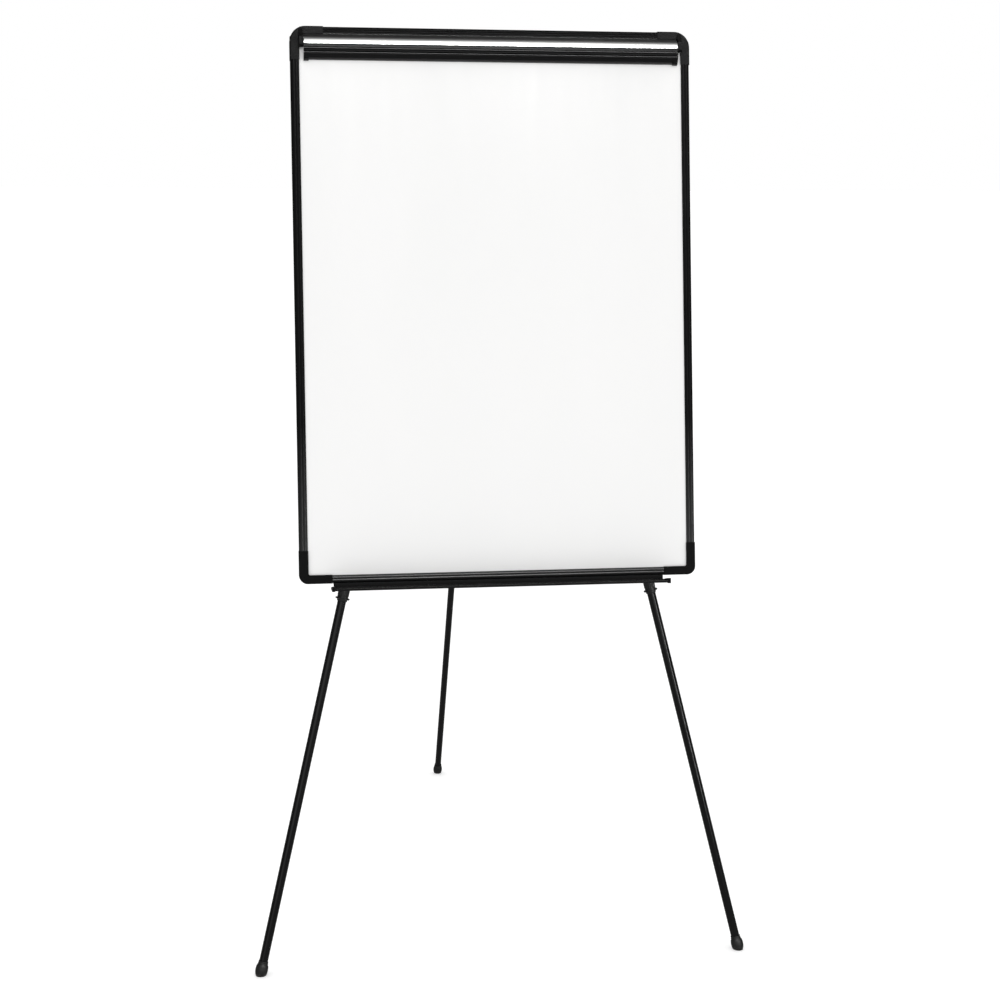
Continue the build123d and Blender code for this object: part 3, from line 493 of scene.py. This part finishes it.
def rubber_foot(leg):
    """A moulded foot: two beads round its neck, a swelling belly, and a flat sole with a rounded rim."""
    radius, _, tube_end = tube_size(leg, f"{leg}_leg_lower_tube")
    floor_at = -leg_pivot[leg].z / leg_line[leg].z
    r = radius / MM
    belly = BELLY_SHARE * r
    neck = [
        (0.30, 27.1), (0.9, 27.0), (1.15, 26.3), (1.0, 25.5), (0.7, 25.0), (0.7, 24.3), (1.15, 23.8),
        (1.45, 23.0), (1.35, 22.2), (1.1, 21.7),
    ]
    swell = [(0.92, 18.6), (0.975, 15.0), (1.0, 11.0), (0.975, 7.0), (0.91, 3.4), (0.80, 0.0), (0.6, -5.0)]
    drawn = [(r + out, up) for out, up in neck] + [(belly * share, up) for share, up in swell]
    outside = smooth_curve(drawn, 4)
    socket = r + 0.05
    web = (floor_at - tube_end) / MM
    profile = [(socket, web - 0.2), (socket, web + 9), (socket, 26.6), *outside]
    rings = [plain_ring(out * MM, floor_at - up * MM) for out, up in profile]
    rings = [floor_at - (web - 0.2) * MM, *rings, floor_at + 5 * MM]
    build = turned(rings, segments=FOOT_SEGMENTS, closed=False)
    bmesh.ops.transform(build, matrix=leg_frame(leg), verts=build.verts)
    everything = [*build.verts, *build.edges, *build.faces]
    cut = bmesh.ops.bisect_plane(
        build, geom=everything, plane_co=(0, 0, 0), plane_no=(0, 0, -1), clear_outer=True
    )
    rim = [edge for edge in cut["geom_cut"] if isinstance(edge, bmesh.types.BMEdge)]
    bmesh.ops.edgeloop_fill(build, edges=rim)
    bmesh.ops.bevel(build, geom=rim, offset=SOLE_BEVEL, segments=3, affect="EDGES", profile=0.5)
    bmesh.ops.recalc_face_normals(build, faces=build.faces)
    mesh_piece(f"{leg}_foot_moulding", build, f"{leg}_lower_leg", f"{leg}_leg_foot")


def lock_ring(leg):
    """A twist lock: a ribbed sleeve, a flange drawn out into two wings, and a chamfered nose."""
    lower_radius = tube_size(leg, f"{leg}_leg_lower_tube")[0] / MM
    upper_radius, _, upper_end = tube_size(leg, f"{leg}_leg_upper_tube")
    inside = upper_radius / MM + 0.05
    sleeve = inside + 0.9
    flange = upper_end / MM + FLANGE_BELOW_TUBE
    hole = lower_radius + 0.1

    def round_at(radius, below):
        return plain_ring(radius * MM, (flange + below) * MM)

    def ribbed_at(height, below):
        def ring(angle):
            rib = (0.5 + 0.5 * cos(LOCK_RIBS * angle)) ** 1.5
            return (sleeve + height * rib) * MM, (flange + below) * MM
        return ring

    def wings_at(inset, below):
        narrow, wide = sleeve + 0.4 - inset, WING_SHARE * lower_radius - inset

        def ring(angle):
            return narrow * wide / hypot(wide * cos(angle), narrow * sin(angle)) * MM, (flange + below) * MM
        return ring

    rings = [
        round_at(inside, -22.0), round_at(sleeve - 0.3, -22.0), round_at(sleeve + 0.1, -21.7),
        round_at(sleeve + 0.3, -21.0), round_at(sleeve + 0.3, -20.0), round_at(sleeve + 0.05, -19.4),
        round_at(sleeve, -19.0), ribbed_at(0.0, -18.6), ribbed_at(0.35, -17.9), ribbed_at(0.5, -17.0),
        ribbed_at(0.5, -11.0), ribbed_at(0.5, -5.0), ribbed_at(0.35, -4.1), ribbed_at(0.0, -3.4),
        round_at(sleeve, -1.0), round_at(sleeve + 0.1, -0.3), wings_at(0.9, 0.0), wings_at(0.3, 0.15),
        wings_at(0.0, 0.7), wings_at(0.0, 2.3), wings_at(0.3, 2.85), wings_at(0.9, 3.0),
        round_at(lower_radius + 1.9, 3.0), round_at(lower_radius + 1.6, 3.3), round_at(lower_radius + 1.6, 5.6),
        round_at(lower_radius + 1.3, 6.4), round_at(lower_radius + 0.6, 7.0), round_at(hole, 7.0),
        round_at(hole, 0.0), round_at(inside, 0.0),
    ]
    build = turned(rings, segments=LOCK_SEGMENTS, closed=True)
    bmesh.ops.transform(build, matrix=leg_frame(leg), verts=build.verts)
    bmesh.ops.recalc_face_normals(build, faces=build.faces)
    mesh_piece(f"{leg}_lock_moulding", build, f"{leg}_lock", f"{leg}_leg_lock_ring")


def clamp_spring(side):
    """A still copy of a return spring's CAD mesh, on no body, so it does not turn with the clamp. The real spring
    twists: one tail stays in the corner's ear, one turns with the clamp.
    """
    node = f"clamp_spring_{side}"
    build = bmesh.new()
    build.from_mesh(frame["nodes"][node].data)
    bmesh.ops.transform(build, matrix=frame["nodes"][node].matrix_world, verts=build.verts)
    spring = mesh_piece(f"{node}_coil", build, None, node)
    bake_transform(spring)


for leg in LEGS:
    rubber_foot(leg)
    lock_ring(leg)
clamp_spring("left")
clamp_spring("right")


# ------------------------------------------------------------------------------ camera, light and floor
CAMERA_PLACE = Vector((-0.5334, -3.8857, 1.5903))
CAMERA_LENS = 70.04
CAMERA_YAW = radians(8.735)
CAMERA_PITCH = radians(11.71)
CAMERA_ROLL = radians(0.655)
AMBIENT = 0.97
STUDIO_SIDES = 0.10  # brightness of the studio beside and behind the easel, as a share of that in front
# Grey of the studio in reflections, from straight down (-1) to straight up (1)
STUDIO_HEIGHTS = (
    (-1.0, 0.5), (-0.5, 0.7), (-0.02, 0.5), (0.06, 0.9), (0.36, 1.1), (0.60, 1.2), (0.74, 0.8), (0.86, 0.25),
    (0.95, 0.07), (1.0, 0.02),
)


def add_camera():
    data = bpy.data.cameras.new("camera")
    data.lens = CAMERA_LENS
    camera = bpy.data.objects.new("camera", data)
    turn = Matrix.Rotation(-CAMERA_YAW, 4, "Z") @ Matrix.Rotation(pi / 2 - CAMERA_PITCH, 4, "X")
    camera.matrix_world = Matrix.Translation(CAMERA_PLACE) @ turn @ Matrix.Rotation(CAMERA_ROLL, 4, "Z")
    bpy.context.scene.collection.objects.link(camera)
    bpy.context.scene.camera = camera


def add_softbox(name, azimuth, elevation, distance, width, height, power):
    """A soft light aimed at the middle of the easel. Azimuth 0 is in front; it grows to the right."""
    data = bpy.data.lights.new(name, "AREA")
    data.shape = "RECTANGLE"
    data.size = width
    data.size_y = height
    data.energy = power
    light = bpy.data.objects.new(name, data)
    a, e = radians(azimuth), radians(elevation)
    out = Vector((sin(a) * cos(e), -cos(a) * cos(e), sin(e)))
    light.location = Vector((0, 0, 1.1)) + out * distance
    light.rotation_euler = out.to_track_quat("Z", "Y").to_euler()
    light.visible_camera = False
    light.visible_diffuse = False
    bpy.context.scene.collection.objects.link(light)


def add_world():
    """White to the camera and for soft light; in reflections, a studio lit in front and dark all round."""
    world = bpy.data.worlds.new("studio")
    bpy.context.scene.world = world
    world.use_nodes = True
    tree = world.node_tree
    tree.nodes.clear()

    def add(kind, settings=None, **inputs):
        node = tree.nodes.new(kind)
        for key, value in (settings or {}).items():
            setattr(node, key, value)
        for key, value in inputs.items():
            socket = node.inputs[key.replace("_", " ")]
            if isinstance(value, bpy.types.NodeSocket):
                tree.links.new(value, socket)
            else:
                socket.default_value = value
        return node

    way = add("ShaderNodeSeparateXYZ", Vector=add("ShaderNodeTexCoord").outputs["Generated"])
    height = add("ShaderNodeMapRange", Value=way.outputs[2], From_Min=-1.0)
    ramp = add("ShaderNodeValToRGB", Fac=height.outputs[0])
    elements = ramp.color_ramp.elements
    for _ in STUDIO_HEIGHTS[1:-1]:
        elements.new(0.5)
    for element, (up, grey) in zip(elements, STUDIO_HEIGHTS):
        element.position = up / 2 + 0.5
        element.color = (grey, grey, grey, 1)
    level = add("ShaderNodeCombineXYZ", X=way.outputs[0], Y=way.outputs[1], Z=0.0)
    heading = add("ShaderNodeVectorMath", {"operation": "NORMALIZE"})
    tree.links.new(level.outputs[0], heading.inputs[0])
    front = add(
        "ShaderNodeMapRange", {"interpolation_type": "SMOOTHSTEP"},
        Value=add("ShaderNodeSeparateXYZ", Vector=heading.outputs[0]).outputs[1],
        From_Min=-0.95, From_Max=-0.45, To_Min=1.0, To_Max=STUDIO_SIDES,
    )
    path = add("ShaderNodeLightPath")
    reflected = add("ShaderNodeBackground", Color=ramp.outputs[0], Strength=front.outputs[0])
    ambient = add("ShaderNodeBackground", Color=(1, 1, 1, 1), Strength=AMBIENT)
    seen = add("ShaderNodeBackground", Color=(1, 1, 1, 1))
    lit = add("ShaderNodeMixShader", Fac=path.outputs["Is Glossy Ray"])
    tree.links.new(ambient.outputs[0], lit.inputs[1])
    tree.links.new(reflected.outputs[0], lit.inputs[2])
    shown = add("ShaderNodeMixShader", Fac=path.outputs["Is Camera Ray"])
    tree.links.new(lit.outputs[0], shown.inputs[1])
    tree.links.new(seen.outputs[0], shown.inputs[2])
    tree.links.new(shown.outputs[0], add("ShaderNodeOutputWorld").inputs[0])


def add_floor():
    """A plain white floor, with a faint tooth."""
    build = bmesh.new()
    bmesh.ops.create_grid(build, x_segments=2, y_segments=2, size=30)
    mesh = bpy.data.meshes.new("floor")
    build.to_mesh(mesh)
    build.free()
    floor = bpy.data.objects.new("floor", mesh)
    bpy.context.scene.collection.objects.link(floor)
    paint = Paint("floor_white", Vector((0, 0, 1)))
    tooth = paint.noise(300, 3.0)
    paint.bump(tooth, 0.02 * MM)
    colour = paint.mix(tooth, (0.88, 0.88, 0.88), (0.90, 0.90, 0.90))
    shine = paint.span(paint.add("ShaderNodeLightPath").outputs["Is Glossy Ray"], 0.3, 0.0, 0.0, 1.0)
    shown = paint.mix(paint.add("ShaderNodeLightPath").outputs["Is Glossy Ray"], colour, (0.25, 0.25, 0.25))
    mesh.materials.append(
        paint.done(shown, 0.8, Specular_IOR_Level=0.1, Emission_Color=(1, 1, 1, 1), Emission_Strength=shine)
    )


add_camera()
add_world()
add_floor()
add_softbox("key", azimuth=9, elevation=35, distance=3.6, width=1.5, height=0.42, power=62)
add_softbox("side", azimuth=38, elevation=8, distance=3.4, width=0.16, height=2.4, power=30)
bpy.context.scene.view_settings.view_transform = "Standard"
